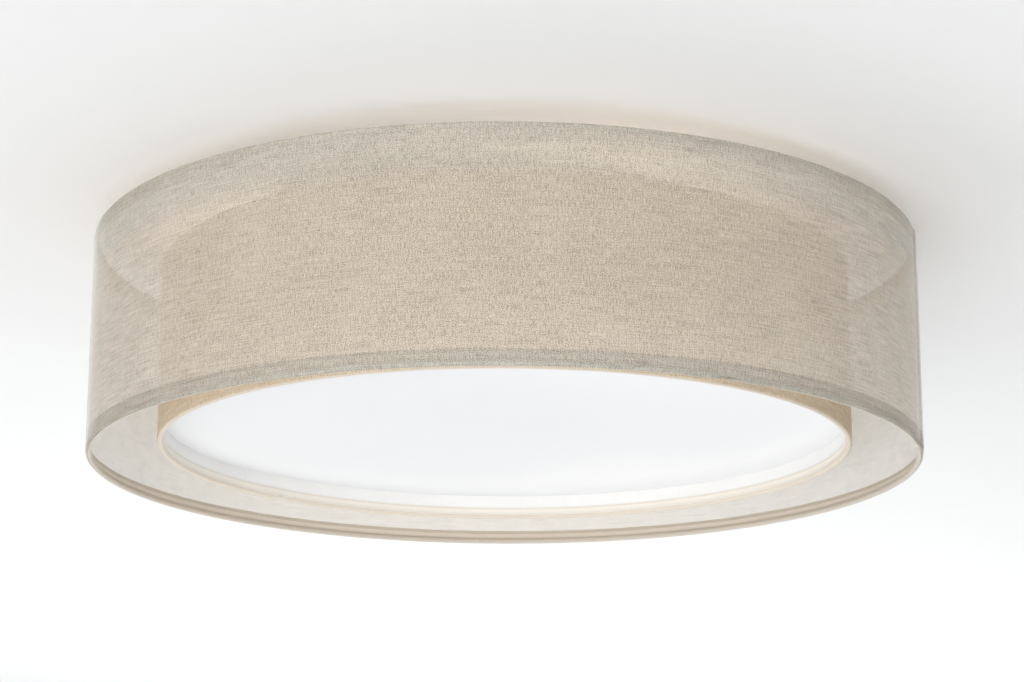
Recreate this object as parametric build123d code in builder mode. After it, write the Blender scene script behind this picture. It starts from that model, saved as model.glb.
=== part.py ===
from build123d import *
import math
import os

os.makedirs("parts", exist_ok=True)

# ---------------------------------------------------------------------------
# Flush mount ceiling light with a double drum shade, millimetres.
# The origin is the centre of the mounting bar's face on the ceiling, +Z is up
# into the ceiling, and the whole light hangs below z = 0.
# ---------------------------------------------------------------------------

# Outer drum
OUTER_R = 300.0  # outside of the cloth
OUTER_TOP = -15.0
OUTER_BOTTOM = -175.0
# Inner drum
INNER_R = 250.0
INNER_TOP = -31.0
INNER_BOTTOM = -164.0
# Cloth, film and liner
CLOTH = 0.4
FILM = 0.3
LINER = 0.5
WIRE_R = 2.0  # ring wire
BEAD_R = WIRE_R + CLOTH  # wire wrapped in the cloth
OUTER_TOP_HEM = 12.5  # edge to the end of the turned-in cloth
OUTER_BOTTOM_HEM = 11.0
INNER_BOTTOM_HEM = 9.0
# Diffuser and the band that it lies on
BAND_T = 3.0
DIFFUSER_R = 248.4
DIFFUSER_T = 2.0
DIFFUSER_Z = -145.5  # underside
# Spider
ARM_AZIMUTHS = (0.0, 120.0, 240.0)
ARM_W = 12.0
ARM_T = 2.0
TAB_R = 10.0
STUD_PITCH_R = 150.0
ARM_Z = -31.4  # underside of the arms over the inner drum
# Ceiling plate
PLATE_R = 170.0
PLATE_DEPTH = 25.0
PLATE_SHEET = 1.0
# Studs, spacers and knurled nuts
STUD_R = 2.0
STUD_END = -43.0
SPACER_R = 5.0
NUT_R = 6.5
NUT_H = 10.0
# Mounting bar
BAR_HALF = 100.0
BAR_W = 25.0
BAR_T = 1.5
BAR_SLOT_Y = 60.0
BAR_SLOT_LENGTH = 20.0
BAR_SLOT_W = 5.5
BAR_CABLE_R = 8.0
BAR_FOOT = 16.0
# Lampholders and lamps
LAMP_AZIMUTHS = (60.0, 180.0, 300.0)
LAMP_Z = -70.0
LEG_R = 33.5  # outward face of a bracket's leg
LEG_T = 1.5
LEG_W = 30.0
NIPPLE_R = 5.0
NIPPLE_BORE = 4.0
# Wires
CORE_R = 1.1
CORE_OFF = 1.7

PLATE_FLOOR = -PLATE_DEPTH + PLATE_SHEET  # upper face of the pan's floor


def finish(piece, name):
    piece.part.label = name
    export_step(piece.part, f"parts/{name}.step")


def upright(azimuth, radius=0.0, z=0.0):
    """The plane through the light's axis at an azimuth: local x outward, local y up."""
    a = math.radians(azimuth)
    return Plane(
        origin=(radius * math.cos(a), radius * math.sin(a), z),
        x_dir=(math.cos(a), math.sin(a), 0),
        z_dir=(math.sin(a), -math.cos(a), 0),
    )


def facing(azimuth, radius=0.0, z=0.0):
    """The plane square to an azimuth, looking outward: local x is sideways, local y is up."""
    a = math.radians(azimuth)
    return Plane(
        origin=(radius * math.cos(a), radius * math.sin(a), z),
        x_dir=(-math.sin(a), math.cos(a), 0),
        z_dir=(math.cos(a), math.sin(a), 0),
    )


def level(azimuth, radius=0.0, z=0.0):
    """A level plane with local x outward at an azimuth."""
    a = math.radians(azimuth)
    return Plane(
        origin=(radius * math.cos(a), radius * math.sin(a), z),
        x_dir=(math.cos(a), math.sin(a), 0),
        z_dir=(0, 0, 1),
    )


def polar(radius, azimuth, side=0.0, z=0.0):
    """A point at a radius along an azimuth, moved sideways (anticlockwise) by side."""
    a = math.radians(azimuth)
    return (
        radius * math.cos(a) - side * math.sin(a),
        radius * math.sin(a) + side * math.cos(a),
        z,
    )


# --- Outer drum --------------------------------------------------------------

outer_wire_r = OUTER_R - BEAD_R
outer_top_wire_z = OUTER_TOP - BEAD_R
outer_bottom_wire_z = OUTER_BOTTOM + BEAD_R
outer_flap_r = OUTER_R - CLOTH - FILM - CLOTH  # inner face of the turned-in hem

with BuildPart() as outer_shade_fabric:
    with BuildSketch(Plane.XZ):
        # the wall
        with Locations(
            ((OUTER_R - CLOTH / 2), (outer_top_wire_z + outer_bottom_wire_z) / 2)
        ):
            Rectangle(CLOTH, outer_top_wire_z - outer_bottom_wire_z)
        # rolled over both rings
        with Locations(
            (outer_wire_r, outer_top_wire_z), (outer_wire_r, outer_bottom_wire_z)
        ):
            Circle(BEAD_R)
        # turned in behind the film
        with Locations(
            (
                outer_flap_r + CLOTH / 2,
                (OUTER_BOTTOM + 4.0 + OUTER_BOTTOM + OUTER_BOTTOM_HEM) / 2,
            )
        ):
            Rectangle(CLOTH, OUTER_BOTTOM_HEM - 4.0)
        with Locations(
            (
                outer_flap_r + CLOTH / 2,
                (OUTER_TOP - 4.0 + OUTER_TOP - OUTER_TOP_HEM) / 2,
            )
        ):
            Rectangle(CLOTH, OUTER_TOP_HEM - 4.0)
        with Locations(
            (outer_wire_r, outer_top_wire_z), (outer_wire_r, outer_bottom_wire_z)
        ):
            Circle(WIRE_R, mode=Mode.SUBTRACT)
    revolve(axis=Axis.Z)
    # notches where the spider's arms meet the top ring
    for azimuth in ARM_AZIMUTHS:
        with BuildSketch(facing(azimuth, outer_wire_r - 4.0)):
            with Locations((0, outer_top_wire_z)):
                Rectangle(ARM_W + 0.8, ARM_T + 0.8)
        extrude(amount=4.0, mode=Mode.SUBTRACT)
finish(outer_shade_fabric, "outer_shade_fabric")

with BuildPart() as outer_shade_film:
    with BuildSketch(Plane.XY.offset(OUTER_BOTTOM + 4.2)):
        Circle(OUTER_R - CLOTH)
        Circle(OUTER_R - CLOTH - FILM, mode=Mode.SUBTRACT)
    extrude(amount=(OUTER_TOP - 4.2) - (OUTER_BOTTOM + 4.2))
finish(outer_shade_film, "outer_shade_film")


def ring(name, radius, z):
    with BuildPart() as wire_ring:
        with BuildSketch(Plane.XZ):
            with Locations((radius, z)):
                Circle(WIRE_R)
        revolve(axis=Axis.Z)
    finish(wire_ring, name)


ring("outer_top_ring", outer_wire_r, outer_top_wire_z)
ring("outer_bottom_ring", outer_wire_r, outer_bottom_wire_z)

# --- Inner drum --------------------------------------------------------------

inner_wire_r = INNER_R - BEAD_R
inner_top_wire_z = INNER_TOP - BEAD_R
inner_bottom_wire_z = INNER_BOTTOM + BEAD_R

with BuildPart() as inner_shade_fabric:
    with BuildSketch(Plane.XZ):
        with Locations(
            ((INNER_R - CLOTH / 2), (inner_top_wire_z + inner_bottom_wire_z) / 2)
        ):
            Rectangle(CLOTH, inner_top_wire_z - inner_bottom_wire_z)
        with Locations(
            (inner_wire_r, inner_top_wire_z), (inner_wire_r, inner_bottom_wire_z)
        ):
            Circle(BEAD_R)
        # turned up inside the support band
        with Locations(
            (
                INNER_R - CLOTH - LINER - BAND_T - 0.05 - CLOTH / 2,
                (INNER_BOTTOM + 3.8 + INNER_BOTTOM + INNER_BOTTOM_HEM) / 2,
            )
        ):
            Rectangle(CLOTH, INNER_BOTTOM_HEM - 3.8)
        with Locations(
            (inner_wire_r, inner_top_wire_z), (inner_wire_r, inner_bottom_wire_z)
        ):
            Circle(WIRE_R, mode=Mode.SUBTRACT)
    revolve(axis=Axis.Z)
    # notches where the arms lie on the top ring
    for azimuth in ARM_AZIMUTHS:
        with BuildSketch(facing(azimuth, inner_wire_r - 4.0)):
            with Locations((0, ARM_Z + 2.0)):
                Rectangle(ARM_W + 0.8, 4.1)
        extrude(amount=8.0, mode=Mode.SUBTRACT)
finish(inner_shade_fabric, "inner_shade_fabric")

with BuildPart() as inner_shade_liner:
    with BuildSketch(Plane.XY.offset(INNER_BOTTOM + 4.3)):
        Circle(INNER_R - CLOTH)
        Circle(INNER_R - CLOTH - LINER, mode=Mode.SUBTRACT)
    extrude(amount=(INNER_TOP - 4.3) - (INNER_BOTTOM + 4.3))
finish(inner_shade_liner, "inner_shade_liner")

ring("inner_top_ring", inner_wire_r, inner_top_wire_z)
ring("inner_bottom_ring", inner_wire_r, inner_bottom_wire_z)

band_outer = INNER_R - CLOTH - LINER
with BuildPart() as diffuser_support_band:
    with BuildSketch(Plane.XY.offset(INNER_BOTTOM + 2 * BEAD_R)):
        Circle(band_outer)
        Circle(band_outer - BAND_T, mode=Mode.SUBTRACT)
    extrude(amount=DIFFUSER_Z - (INNER_BOTTOM + 2 * BEAD_R))
finish(diffuser_support_band, "diffuser_support_band")

with BuildPart() as diffuser:
    with BuildSketch(Plane.XY.offset(DIFFUSER_Z)):
        Circle(DIFFUSER_R)
    extrude(amount=DIFFUSER_T)
    chamfer(diffuser.edges(), length=0.3)
finish(diffuser, "diffuser")

# --- Spider arms: from the outer ring, down over the inner ring, to the studs --

arm_mid = ARM_Z + ARM_T / 2
for i, azimuth in enumerate(ARM_AZIMUTHS, start=1):
    with BuildPart() as spider_arm:
        with BuildSketch(upright(azimuth)):
            with BuildLine():
                FilletPolyline(
                    (outer_wire_r - 1.0, outer_top_wire_z),
                    (272.0, outer_top_wire_z),
                    (258.5, arm_mid),
                    (STUD_PITCH_R, arm_mid),
                    radius=4.0,
                )
            trace(line_width=ARM_T)
        extrude(amount=ARM_W / 2, both=True)
        with BuildSketch(level(azimuth, STUD_PITCH_R, ARM_Z)):
            Circle(TAB_R)
        extrude(amount=ARM_T)
        with BuildSketch(level(azimuth, STUD_PITCH_R, ARM_Z)):
            Circle(STUD_R + 0.4)
        extrude(amount=ARM_T, mode=Mode.SUBTRACT)
        # the end is welded against the ring's inner side
        with BuildSketch(Plane.XZ):
            with Locations((outer_wire_r, outer_top_wire_z)):
                Circle(WIRE_R)
        revolve(axis=Axis.Z, mode=Mode.SUBTRACT)
    finish(spider_arm, f"spider_arm_{i}")

# --- Ceiling plate -------------------------------------------------------------

BUSH_HOLE_R = 10.0
PAN_SCREW_Y = BAR_HALF + 8.0
EARTH_X, EARTH_Y = -4.0, -46.0
BLOCK_X = 48.0
BLOCK_SCREW_Y = 5.5
RIVET_R = 1.6
RIVET_PITCH_R = LEG_R + 16.0
RIVET_SIDE = 9.0

rivet_points = [
    polar(RIVET_PITCH_R, azimuth, side)[:2]
    for azimuth in LAMP_AZIMUTHS
    for side in (-RIVET_SIDE, RIVET_SIDE)
]

with BuildPart() as ceiling_plate:
    with BuildSketch(Plane.XY.offset(-PLATE_DEPTH)):
        Circle(PLATE_R)
    extrude(amount=PLATE_DEPTH)
    fillet(ceiling_plate.edges().group_by(Axis.Z)[0], radius=4.0)
    offset(
        amount=-PLATE_SHEET,
        openings=ceiling_plate.faces().sort_by(Axis.Z)[-1],
    )
    with BuildSketch(Plane.XY.offset(-PLATE_DEPTH)):
        Circle(BUSH_HOLE_R)
        with Locations((0, PAN_SCREW_Y), (0, -PAN_SCREW_Y)):
            Circle(2.3)
        with Locations((EARTH_X, EARTH_Y)):
            Circle(2.1)
        with Locations((BLOCK_X, BLOCK_SCREW_Y)):
            Circle(1.6)
        with Locations(*rivet_points):
            Circle(RIVET_R + 0.05)
    extrude(amount=PLATE_SHEET, mode=Mode.SUBTRACT)
finish(ceiling_plate, "ceiling_plate")

# --- Mounting bar and the two screws that hold the pan to it --------------------

with BuildPart() as mounting_bar:
    with BuildSketch(Plane.YZ):
        with BuildLine():
            FilletPolyline(
                (-BAR_HALF - BAR_FOOT, PLATE_FLOOR + BAR_T / 2),
                (-BAR_HALF, PLATE_FLOOR + BAR_T / 2),
                (-BAR_HALF, -BAR_T / 2),
                (BAR_HALF, -BAR_T / 2),
                (BAR_HALF, PLATE_FLOOR + BAR_T / 2),
                (BAR_HALF + BAR_FOOT, PLATE_FLOOR + BAR_T / 2),
                radius=2.0,
            )
        trace(line_width=BAR_T)
    extrude(amount=BAR_W / 2, both=True)
    with BuildSketch(Plane.XY):
        with Locations((0, BAR_SLOT_Y), (0, -BAR_SLOT_Y)):
            SlotOverall(BAR_SLOT_LENGTH, BAR_SLOT_W, rotation=90)
        Circle(BAR_CABLE_R)
    extrude(amount=-BAR_T, mode=Mode.SUBTRACT)
    with BuildSketch(Plane.XY.offset(PLATE_FLOOR)):
        with Locations((0, PAN_SCREW_Y), (0, -PAN_SCREW_Y)):
            Circle(2.03)
    extrude(amount=BAR_T, mode=Mode.SUBTRACT)
finish(mounting_bar, "mounting_bar")

with BuildPart() as pan_screws:
    with BuildSketch(Plane.XY.offset(-PLATE_DEPTH)):
        with Locations((0, PAN_SCREW_Y), (0, -PAN_SCREW_Y)):
            Circle(2.0)
    extrude(amount=9.0)
    with BuildSketch(Plane.XY.offset(-PLATE_DEPTH)):
        with Locations((0, PAN_SCREW_Y), (0, -PAN_SCREW_Y)):
            Circle(4.0)
    extrude(amount=-2.6)
    fillet(pan_screws.edges().group_by(Axis.Z)[0], radius=1.4)
    for turn in (0, 90):
        with BuildSketch(Plane.XY.offset(-PLATE_DEPTH - 2.6)):
            with Locations((0, PAN_SCREW_Y), (0, -PAN_SCREW_Y)):
                Rectangle(4.4, 0.9, rotation=turn + 20)
        extrude(amount=1.3, mode=Mode.SUBTRACT)
finish(pan_screws, "pan_screws")

# --- Bushing in the pan's centre hole ---------------------------------------------

with BuildPart() as cable_bushing:
    with BuildSketch(Plane.XZ):
        with BuildLine():
            Polyline(
                (7.8, -PLATE_DEPTH - 2.0),
                (11.5, -PLATE_DEPTH - 2.0),
                (12.3, -PLATE_DEPTH - 1.2),
                (12.3, -PLATE_DEPTH),
                (BUSH_HOLE_R, -PLATE_DEPTH),
                (BUSH_HOLE_R, PLATE_FLOOR),
                (12.3, PLATE_FLOOR),
                (12.3, PLATE_FLOOR + 1.2),
                (11.5, PLATE_FLOOR + 2.0),
                (7.8, PLATE_FLOOR + 2.0),
                close=True,
            )
        make_face()
    revolve(axis=Axis.Z)
finish(cable_bushing, "cable_bushing")

# --- Studs and spacers -------------------------------------------------------------

stud_points = [polar(STUD_PITCH_R, azimuth)[:2] for azimuth in ARM_AZIMUTHS]

with BuildPart() as shade_studs:
    with BuildSketch(Plane.XY.offset(-PLATE_DEPTH)):
        with Locations(*stud_points):
            Circle(STUD_R)
    extrude(amount=STUD_END + PLATE_DEPTH)
    chamfer(shade_studs.edges().group_by(Axis.Z)[0], length=0.5)
finish(shade_studs, "shade_studs")

with BuildPart() as stud_spacers:
    with BuildSketch(Plane.XY.offset(ARM_Z + ARM_T)):
        with Locations(*stud_points):
            Circle(SPACER_R)
            Circle(STUD_R + 0.1, mode=Mode.SUBTRACT)
    extrude(amount=-PLATE_DEPTH - (ARM_Z + ARM_T))
finish(stud_spacers, "stud_spacers")

# --- Knurled nuts ----------------------------------------------------------------------

for i, (x, y) in enumerate(stud_points, start=1):
    with BuildPart() as knurled_nut:
        with BuildSketch(Plane((x, y, ARM_Z))):
            Circle(NUT_R)
        extrude(amount=-1.6)
        with BuildSketch(Plane((x, y, ARM_Z - 1.6))):
            Circle(NUT_R - 1.5)
        extrude(amount=-1.4)
        with BuildSketch(Plane((x, y, ARM_Z - 3.0))):
            Circle(NUT_R)
        extrude(amount=-(NUT_H - 3.0))
        chamfer(knurled_nut.edges().group_by(Axis.Z)[0], length=0.7)
        with BuildSketch(Plane((x, y, ARM_Z - 3.0))):
            with PolarLocations(NUT_R + 0.15, 28):
                Circle(0.45)
        extrude(amount=-NUT_H, mode=Mode.SUBTRACT)
        with BuildSketch(Plane((x, y, ARM_Z))):
            Circle(STUD_R + 0.05)
        extrude(amount=-NUT_H, mode=Mode.SUBTRACT)
    finish(knurled_nut, f"knurled_nut_{i}")

# --- Lampholder brackets, rivets, nipples and nuts -----------------------------------------

brackets = []
for azimuth in LAMP_AZIMUTHS:
    with BuildPart() as holder_bracket:
        with BuildSketch(upright(azimuth)):
            with BuildLine():
                FilletPolyline(
                    (LEG_R + 28.0, -PLATE_DEPTH - LEG_T / 2),
                    (LEG_R - LEG_T / 2, -PLATE_DEPTH - LEG_T / 2),
                    (LEG_R - LEG_T / 2, LAMP_Z - 15.0),
                    radius=2.5,
                )
            trace(line_width=LEG_T)
        extrude(amount=LEG_W / 2, both=True)
        # round the leg's free corners
        with BuildSketch(facing(azimuth, LEG_R - LEG_T - 1.0, LAMP_Z)):
            with Locations((0, -15.0)):
                Rectangle(LEG_W + 2, 30.0)
            with Locations((0, 0)):
                Circle(LEG_W / 2, mode=Mode.SUBTRACT)
            with Locations((0, 15.0)):
                Rectangle(LEG_W + 2, 30.0, mode=Mode.SUBTRACT)
        extrude(amount=LEG_T + 2.0, mode=Mode.SUBTRACT)
        with BuildSketch(facing(azimuth, LEG_R - LEG_T - 1.0, LAMP_Z)):
            Circle(NIPPLE_R + 0.03)
        extrude(amount=LEG_T + 2.0, mode=Mode.SUBTRACT)
        with BuildSketch(level(azimuth, RIVET_PITCH_R, -PLATE_DEPTH - LEG_T)):
            with Locations((0, RIVET_SIDE), (0, -RIVET_SIDE)):
                Circle(RIVET_R + 0.05)
        extrude(amount=LEG_T, mode=Mode.SUBTRACT)
    brackets.append(holder_bracket.part)

with BuildPart() as holder_brackets:
    for bracket in brackets:
        add(bracket)
finish(holder_brackets, "holder_brackets")

with BuildPart() as bracket_rivets:
    with BuildSketch(Plane.XY.offset(-PLATE_DEPTH - LEG_T)):
        with Locations(*rivet_points):
            Circle(RIVET_R)
    extrude(amount=LEG_T + PLATE_SHEET)
    with BuildSketch(Plane.XY.offset(-PLATE_DEPTH - LEG_T)):
        with Locations(*rivet_points):
            Circle(3.1)
    extrude(amount=-1.1)
    chamfer(bracket_rivets.edges().group_by(Axis.Z)[0], length=0.6)
    with BuildSketch(Plane.XY.offset(PLATE_FLOOR)):
        with Locations(*rivet_points):
            Circle(2.4)
    extrude(amount=1.5)
    chamfer(bracket_rivets.edges().group_by(Axis.Z)[-1], length=0.5)
finish(bracket_rivets, "bracket_rivets")

with BuildPart() as holder_nipples:
    for azimuth in LAMP_AZIMUTHS:
        with BuildSketch(facing(azimuth, LEG_R - 8.0, LAMP_Z)):
            Circle(NIPPLE_R)
            Circle(NIPPLE_BORE, mode=Mode.SUBTRACT)
        extrude(amount=17.0)
finish(holder_nipples, "holder_nipples")

with BuildPart() as nipple_nuts:
    for azimuth in LAMP_AZIMUTHS:
        with BuildSketch(facing(azimuth, LEG_R - LEG_T, LAMP_Z)):
            RegularPolygon(radius=7.0, side_count=6, major_radius=False)
            Circle(NIPPLE_R + 0.03, mode=Mode.SUBTRACT)
        extrude(amount=-3.5)
finish(nipple_nuts, "nipple_nuts")

# --- Lampholders: along each lamp's axis, u = 0 is the bracket's outward face ----------------

DOME_PROFILE = [
    (0.0, 5.05),
    (0.0, 10.0),
    (3.0, 13.5),
    (8.0, 17.2),
    (14.0, 19.0),
    (22.0, 19.6),
    (22.0, 17.7),
    (13.5, 17.1),
    (8.5, 15.3),
    (5.2, 12.4),
    (4.0, 9.5),
    (4.0, 5.05),
]
SKIRT_PROFILE = [
    (22.0, 17.7),
    (22.0, 20.0),
    (23.0, 20.6),
    (56.0, 20.6),
    (57.0, 19.8),
    (57.0, 17.6),
    (55.2, 13.7),
    (30.0, 13.7),
    (30.0, 17.7),
]
INSERT_U0, INSERT_U1, INSERT_R = 22.0, 30.0, 17.7
TIP_U = 31.0
SHELL_U0, SHELL_U1 = 34.4, 55.2
SHELL_R = 13.15

with BuildPart() as holder_domes:
    for azimuth in LAMP_AZIMUTHS:
        at = upright(azimuth, LEG_R, LAMP_Z)
        with BuildSketch(at):
            with BuildLine():
                Polyline(*DOME_PROFILE, close=True)
            make_face()
        revolve(axis=Axis(at.origin, at.x_dir))
finish(holder_domes, "holder_domes")

for i, azimuth in enumerate(LAMP_AZIMUTHS, start=1):
    at = upright(azimuth, LEG_R, LAMP_Z)
    along = Axis(at.origin, at.x_dir)

    with BuildPart() as holder_skirt:
        with BuildSketch(at):
            with BuildLine():
                Polyline(*SKIRT_PROFILE, close=True)
            make_face()
        revolve(axis=along)
        # grip ribs along the skirt
        with BuildSketch(facing(azimuth, LEG_R + 27.0, LAMP_Z)):
            with PolarLocations(20.9, 24):
                Circle(0.7)
        extrude(amount=22.0, mode=Mode.SUBTRACT)
    finish(holder_skirt, f"holder_skirt_{i}")

    # the lamp: cap, contact, housing, LED board and dome
    with BuildPart() as bulb_cap:
        with BuildSketch(at):
            with BuildLine():
                crest, root, pitch = SHELL_R, SHELL_R - 0.75, 3.55
                thread = [(SHELL_U0, 11.9)]
                u = SHELL_U0 + 1.4
                while u + pitch < SHELL_U1 - 0.5:
                    thread += [(u, root), (u + pitch / 2, crest)]
                    u += pitch
                thread += [(u, root), (SHELL_U1, SHELL_R)]
                start = (32.6, 6.0)
                l1 = Polyline(start, thread[0])
                l2 = Spline(*thread)
                l3 = Polyline(
                    thread[-1],
                    (SHELL_U1, 11.5),
                    (SHELL_U0 + 0.9, 11.3),
                    (33.4, 6.0),
                    start,
                )
            make_face()
        revolve(axis=along)
    finish(bulb_cap, f"bulb_{i}_cap")

    with BuildPart() as bulb_contact:
        with BuildSketch(at):
            with BuildLine():
                Polyline(
                    (TIP_U, 0),
                    (TIP_U, 3.4),
                    (31.8, 4.6),
                    (32.2, 5.9),
                    (34.0, 5.9),
                    (34.0, 0),
                    close=True,
                )
            make_face()
        revolve(axis=along)
    finish(bulb_contact, f"bulb_{i}_contact")

    with BuildPart() as bulb_housing:
        with BuildSketch(at):
            with BuildLine():
                h1 = Spline(
                    (SHELL_U1, 13.4),
                    (60.0, 15.3),
                    (72.0, 21.6),
                    (84.0, 27.2),
                    (93.0, 29.4),
                )
                h2 = Polyline(
                    h1 @ 1,
                    (93.0, 28.0),
                    (90.5, 28.0),
                    (90.5, 26.2),
                    (84.0, 25.4),
                    (72.0, 19.8),
                    (60.0, 13.5),
                    (56.6, 11.5),
                    (SHELL_U1, 11.5),
                    h1 @ 0,
                )
            make_face()
        revolve(axis=along)
    finish(bulb_housing, f"bulb_{i}_housing")

    with BuildPart() as bulb_led_board:
        with BuildSketch(at):
            with BuildLine():
                Polyline(
                    (90.5, 2.0), (90.5, 27.9), (92.1, 27.9), (92.1, 2.0), close=True
                )
            make_face()
        revolve(axis=along)
        # the emitters
        with BuildSketch(facing(azimuth, LEG_R + 92.1, LAMP_Z)):
            with PolarLocations(17.0, 10):
                Rectangle(3.0, 3.0)
        extrude(amount=0.7)
    finish(bulb_led_board, f"bulb_{i}_led_board")

    with BuildPart() as bulb_dome:
        with BuildSketch(at):
            with BuildLine():
                d1 = Bezier((104.0, 30.0), (123.3, 30.0), (139.0, 16.6), (139.0, 0.0))
                d2 = Polyline((139.0, 0.0), (137.8, 0.0))
                d3 = Bezier((137.8, 0.0), (137.8, 15.9), (122.7, 28.8), (104.0, 28.8))
                d4 = Polyline(
                    (104.0, 28.8), (93.0, 28.1), (93.0, 29.4), (104.0, 30.0)
                )
            make_face()
        revolve(axis=along)
    finish(bulb_dome, f"bulb_{i}_dome")

with BuildPart() as holder_inserts:
    for azimuth in LAMP_AZIMUTHS:
        with BuildSketch(facing(azimuth, LEG_R + INSERT_U0, LAMP_Z)):
            Circle(INSERT_R)
        extrude(amount=INSERT_U1 - INSERT_U0)
        with BuildSketch(facing(azimuth, LEG_R + INSERT_U1, LAMP_Z)):
            with Locations((0, 15.0), (0, -15.0)):
                Rectangle(6.0, 3.0)
        extrude(amount=-3.0, mode=Mode.SUBTRACT)
finish(holder_inserts, "holder_inserts")

with BuildPart() as holder_centre_contacts:
    for azimuth in LAMP_AZIMUTHS:
        with BuildSketch(facing(azimuth, LEG_R + INSERT_U1, LAMP_Z)):
            Rectangle(12.0, 4.0)
        extrude(amount=0.5)
        with BuildSketch(facing(azimuth, LEG_R + INSERT_U1, LAMP_Z)):
            Circle(2.6)
        extrude(amount=TIP_U - INSERT_U1)
finish(holder_centre_contacts, "holder_centre_contacts")

with BuildPart() as holder_side_contacts:
    for azimuth in LAMP_AZIMUTHS:
        with BuildSketch(facing(azimuth, LEG_R + INSERT_U1, LAMP_Z)):
            with Locations((0, 10.2), (0, -10.2)):
                Rectangle(4.0, 3.4)
        extrude(amount=0.5)
        with BuildSketch(facing(azimuth, LEG_R + INSERT_U1, LAMP_Z)):
            with Locations((0, 11.6), (0, -11.6)):
                Rectangle(4.0, 0.6)
        extrude(amount=4.2)
finish(holder_side_contacts, "holder_side_contacts")

# --- Terminal block ----------------------------------------------------------------------

BLOCK_L, BLOCK_D, BLOCK_H = 36.0, 22.0, 17.0
POLES = (11.0, 0.0, -11.0)  # live, neutral, earth
POLE_Z = PLATE_FLOOR + 6.5

with BuildPart() as terminal_block:
    with BuildSketch(Plane.XY.offset(PLATE_FLOOR)):
        with Locations((BLOCK_X, 0)):
            Rectangle(BLOCK_D, BLOCK_L)
    extrude(amount=11.0)
    # a tower over each pole
    with BuildSketch(Plane.XY.offset(PLATE_FLOOR + 11.0)):
        for y in POLES:
            with Locations((BLOCK_X - 5.0, y), (BLOCK_X + 5.0, y)):
                Circle(4.2)
    extrude(amount=BLOCK_H - 11.0)
    with BuildSketch(Plane.YZ.offset(BLOCK_X - BLOCK_D / 2)):
        for y in POLES:
            with Locations((y, POLE_Z)):
                Circle(3.0)
    extrude(amount=BLOCK_D, mode=Mode.SUBTRACT)
    with BuildSketch(Plane.XY.offset(POLE_Z)):
        for y in POLES:
            with Locations((BLOCK_X - 5.0, y), (BLOCK_X + 5.0, y)):
                Circle(2.4)
    extrude(amount=20.0, mode=Mode.SUBTRACT)
    # fixing hole between the first two poles
    with BuildSketch(Plane.XY.offset(PLATE_FLOOR)):
        with Locations((BLOCK_X, BLOCK_SCREW_Y)):
            Circle(1.5)
    extrude(amount=10.0, mode=Mode.SUBTRACT)
finish(terminal_block, "terminal_block")

with BuildPart() as terminal_sleeves:
    with BuildSketch(Plane.YZ.offset(BLOCK_X - BLOCK_D / 2 + 2.0)):
        for y in POLES:
            with Locations((y, POLE_Z)):
                Circle(2.98)
                Circle(2.0, mode=Mode.SUBTRACT)
    extrude(amount=BLOCK_D - 4.0)
    with BuildSketch(Plane.XY.offset(POLE_Z)):
        for y in POLES:
            with Locations((BLOCK_X - 5.0, y), (BLOCK_X + 5.0, y)):
                Circle(1.55)
    extrude(amount=6.0, mode=Mode.SUBTRACT)
finish(terminal_sleeves, "terminal_sleeves")

with BuildPart() as terminal_screws:
    with BuildSketch(Plane.XY.offset(POLE_Z + 0.6)):
        for y in POLES:
            with Locations((BLOCK_X - 5.0, y), (BLOCK_X + 5.0, y)):
                Circle(1.5)
    extrude(amount=5.4)
    with BuildSketch(Plane.XY.offset(POLE_Z + 6.0)):
        for y in POLES:
            with Locations((BLOCK_X - 5.0, y), (BLOCK_X + 5.0, y)):
                Circle(2.2)
    extrude(amount=1.8)
    with BuildSketch(Plane.XY.offset(POLE_Z + 7.8)):
        for y in POLES:
            with Locations((BLOCK_X - 5.0, y), (BLOCK_X + 5.0, y)):
                Rectangle(3.6, 0.7, rotation=35)
    extrude(amount=-0.9, mode=Mode.SUBTRACT)
finish(terminal_screws, "terminal_screws")

# --- Earth screw, lug and nut ---------------------------------------------------------------

with BuildPart() as earth_screw:
    with BuildSketch(Plane.XY.offset(-PLATE_DEPTH)):
        with Locations((EARTH_X, EARTH_Y)):
            Circle(2.0)
    extrude(amount=8.5)
    with BuildSketch(Plane.XY.offset(-PLATE_DEPTH)):
        with Locations((EARTH_X, EARTH_Y)):
            Circle(3.8)
    extrude(amount=-2.4)
    fillet(earth_screw.edges().group_by(Axis.Z)[0], radius=1.3)
    with BuildSketch(Plane.XY.offset(-PLATE_DEPTH - 2.4)):
        with Locations((EARTH_X, EARTH_Y)):
            Rectangle(4.6, 0.9, rotation=40)
            Rectangle(0.9, 4.6, rotation=40)
    extrude(amount=1.2, mode=Mode.SUBTRACT)
finish(earth_screw, "earth_screw")

LUG_T = 0.8
with BuildPart() as earth_lug:
    with BuildSketch(Plane.XY.offset(PLATE_FLOOR)):
        with Locations((EARTH_X, EARTH_Y)):
            Circle(4.2)
        with Locations((EARTH_X, EARTH_Y + 4.5)):
            Rectangle(3.0, 5.0)
        with Locations((EARTH_X, EARTH_Y)):
            Circle(2.1, mode=Mode.SUBTRACT)
    extrude(amount=LUG_T)
    # barrel crimped on the wire
    with BuildSketch(Plane.XZ.offset(-(EARTH_Y + 6.0))):
        with Locations((EARTH_X, PLATE_FLOOR + 1.6)):
            Circle(1.6)
    extrude(amount=-5.0)
    with BuildSketch(Plane.XZ.offset(-(EARTH_Y + 11.0))):
        with Locations((EARTH_X, PLATE_FLOOR + 1.6)):
            Circle(CORE_R)
    extrude(amount=3.0, mode=Mode.SUBTRACT)
finish(earth_lug, "earth_lug")

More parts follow.
